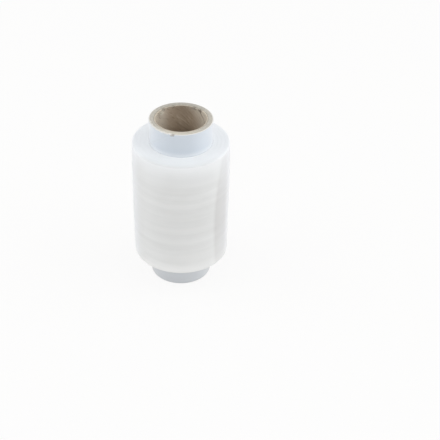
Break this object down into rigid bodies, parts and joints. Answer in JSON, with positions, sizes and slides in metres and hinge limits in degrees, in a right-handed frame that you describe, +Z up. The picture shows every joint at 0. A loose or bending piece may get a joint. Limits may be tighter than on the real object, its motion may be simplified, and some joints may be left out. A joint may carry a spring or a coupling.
{
  "type": "stretch wrap roll",
  "caption": "Small hand roll of clear stretch film wound on a longer spiral paperboard core, with a bare neck of core at each end.",
  "frame": {"origin": "centre of the ring that the roll stands on, at the lower end of the core", "axes": "+Z up the core's axis, towards its upper end; +X and +Y across it, with -Y towards the picture's camera"},
  "size_m": [0.0748, 0.0748, 0.14],
  "materials": {
    "paperboard": "white paper ply outside, grey-brown board inside and on the sawn ends",
    "film": "many turns of clear film, milky white together, glossy"
  },
  "bodies": {
    "root": {"core": "paperboard", "film": "film"}
  },
  "joints": []
}
